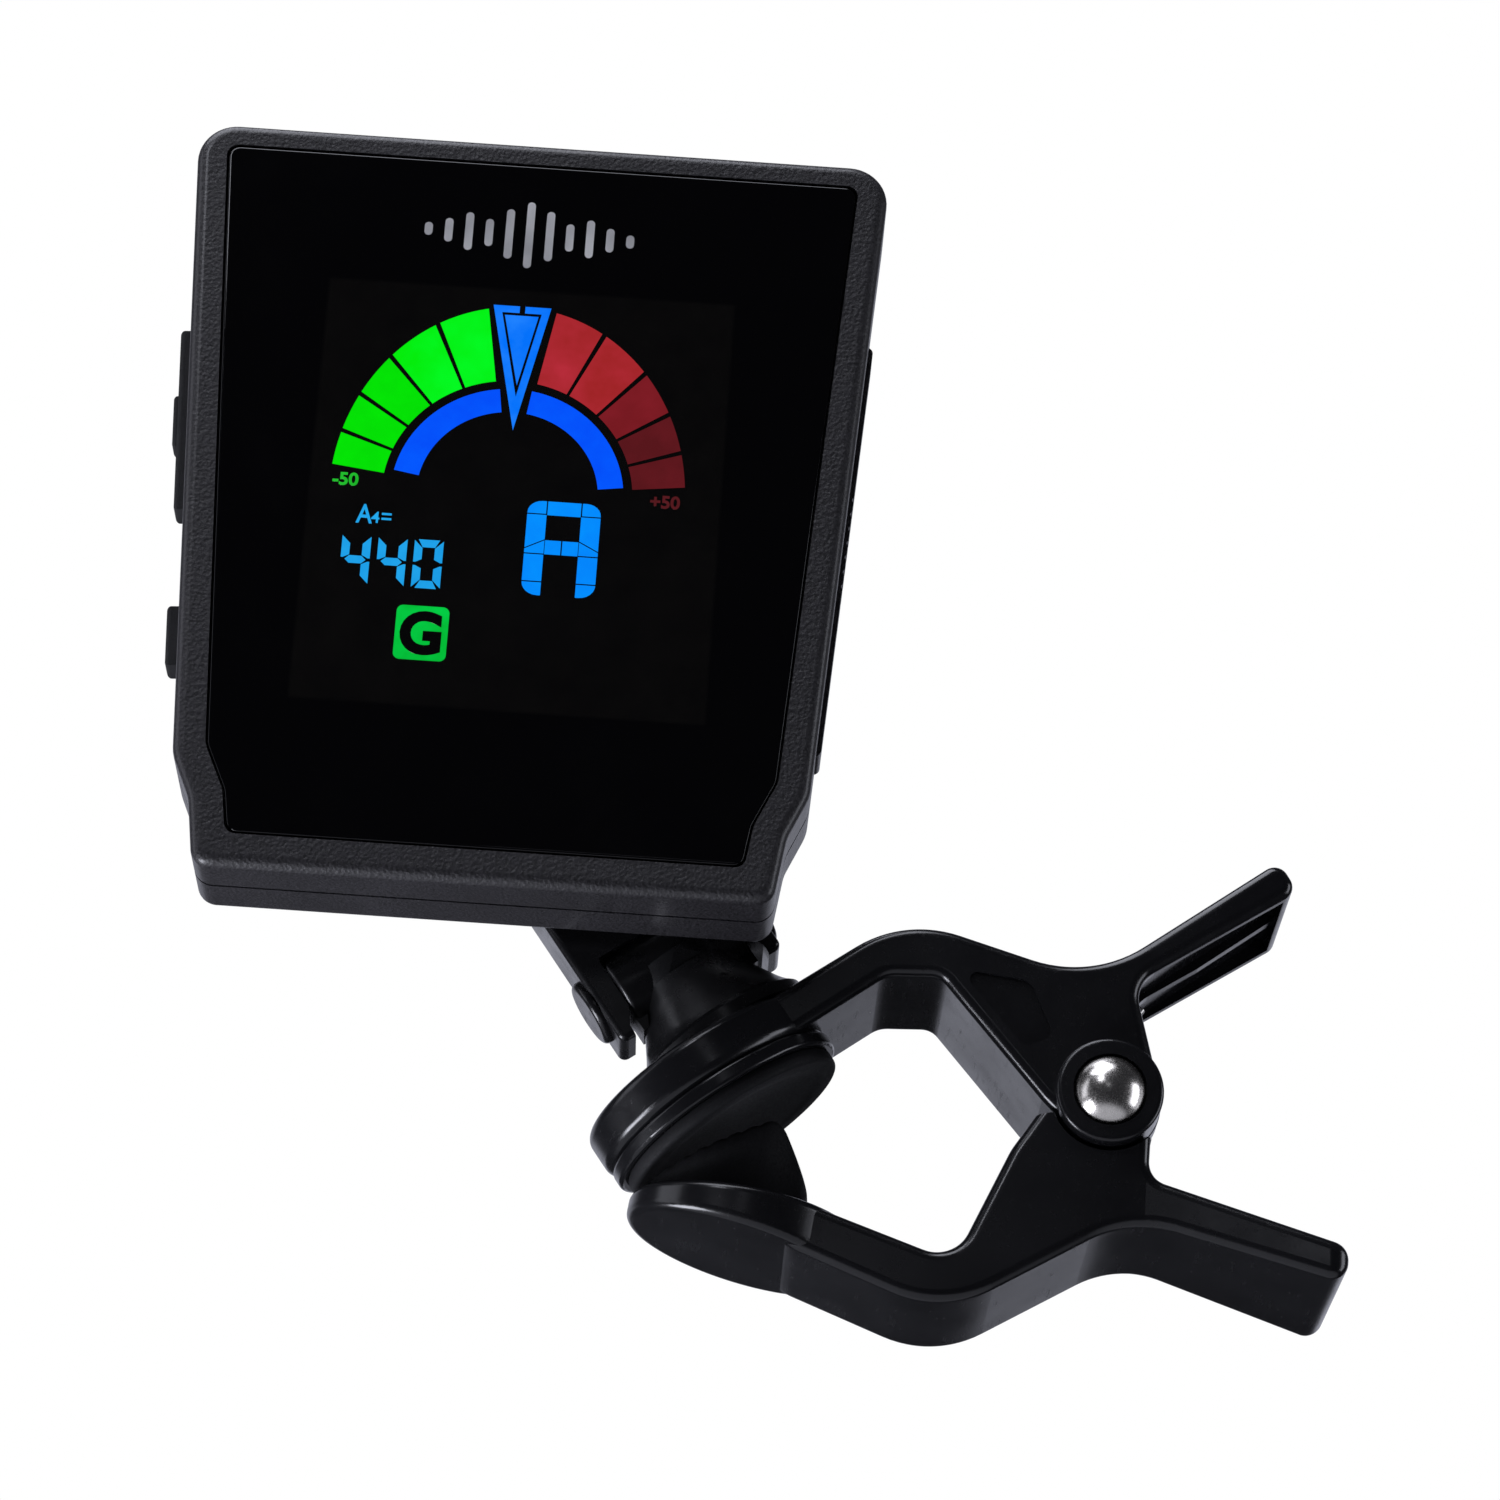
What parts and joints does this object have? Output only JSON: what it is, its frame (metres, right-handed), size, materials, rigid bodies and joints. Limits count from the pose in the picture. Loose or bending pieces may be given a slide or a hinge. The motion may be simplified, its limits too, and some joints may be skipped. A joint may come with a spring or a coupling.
{
  "type": "clip-on instrument tuner",
  "caption": "Clip-on tuner: a flat display head on a swivelling, tilting arm that stands on a spring clip with rubber pads and finger handles.",
  "frame": {"origin": "middle of the lower pad's grip face, in the clip's mid-plane", "axes": "+Z is the display's up, -Y is the way the display faces, +X points to the clip's handles"},
  "size_m": [0.0921, 0.0242, 0.0879],
  "materials": {
    "clip_plastic": "gloss",
    "arm_plastic": "semi-gloss",
    "case_plastic": "fine leather grain",
    "lens_acrylic": "polished, nearly black tint",
    "pad_rubber": "matte",
    "gasket_rubber": "matte",
    "key_rubber": "satin",
    "nickel": "polished",
    "spring_steel": "drawn wire",
    "zinc_steel": "zinc plated",
    "cell_steel": "satin",
    "nylon": "natural nylon",
    "lcd_glass": "dark display glass",
    "diffuser": "milky",
    "board": "green solder resist",
    "chip": "moulded",
    "switch": "moulded",
    "contact_brass": "bright"
  },
  "bodies": {
    "upper_clip": {"upper_jaw": "clip_plastic", "upper_pad_holder": "clip_plastic", "upper_pad": "pad_rubber", "pivot_rivet": "nickel", "rivet_cap": "nickel", "torsion_spring": "spring_steel"},
    "lower_clip": {"lower_jaw": "clip_plastic", "lower_pad": "pad_rubber"},
    "turntable": {"swivel_base": "arm_plastic", "base_washer": "zinc_steel", "base_screw": "zinc_steel"},
    "arm": {"arm_yoke": "arm_plastic", "hinge_pin": "arm_plastic", "hinge_pin_cap": "arm_plastic", "friction_washer": "nylon", "post_washer": "zinc_steel", "post_screw": "zinc_steel"},
    "head": {"front_bezel": "case_plastic", "rear_cover": "case_plastic", "display_lens": "lens_acrylic", "lens_gasket": "gasket_rubber", "lcd_panel": "lcd_glass", "backlight": "diffuser", "zebra_strip": "gasket_rubber", "circuit_board": "board", "main_chip": "chip", "driver_chip": "chip", "crystal": "zinc_steel", "tact_switches": "switch", "cell_contact_minus": "contact_brass", "cell_contact_plus": "contact_brass", "piezo_sensor": "contact_brass", "housing_screws": "zinc_steel"},
    "battery": {"battery_drawer": "case_plastic", "coin_cell": "cell_steel"},
    "rocker": {"rocker_button": "key_rubber"},
    "power": {"power_button": "key_rubber"}
  },
  "joints": [
    {"name": "jaw_hinge", "type": "hinge", "parent": "upper_clip", "child": "lower_clip", "pos_m": [0.028, 0, 0.0049], "axis": [0, -1, 0], "range_deg": [0, 28], "stiffness_Nm_per_rad": 0.12, "springref_deg": -51.57, "deforming": ["torsion_spring"]},
    {"name": "base_swivel", "type": "hinge", "parent": "upper_clip", "child": "turntable", "pos_m": [-0.0001, 0, 0.00875], "axis": [-0.5962, 0, 0.8028], "continuous": true},
    {"name": "arm_tilt", "type": "hinge", "parent": "turntable", "child": "arm", "pos_m": [-0.00481, 0, 0.01509], "axis": [-0.8028, 0, -0.5962], "range_deg": [-10, 90]},
    {"name": "head_swivel", "type": "hinge", "parent": "arm", "child": "head", "pos_m": [-0.01918, -0.0045, 0.03444], "axis": [0, -1, 0], "range_deg": [0, 73]},
    {"name": "drawer_slide", "type": "slide", "parent": "head", "child": "battery", "axis": [1, 0, 0], "range_m": [0, 0.024]},
    {"name": "rocker_tilt", "type": "hinge", "parent": "head", "child": "rocker", "pos_m": [-0.04312, -0.0078, 0.05324], "axis": [0, 1, 0], "range_deg": [-1.8, 1.8], "stiffness_Nm_per_rad": 0.05},
    {"name": "power_press", "type": "slide", "parent": "head", "child": "power", "axis": [0.9981, 0, 0.0614], "range_m": [0, 0.00025], "stiffness_N_per_m": 2500}
  ]
}
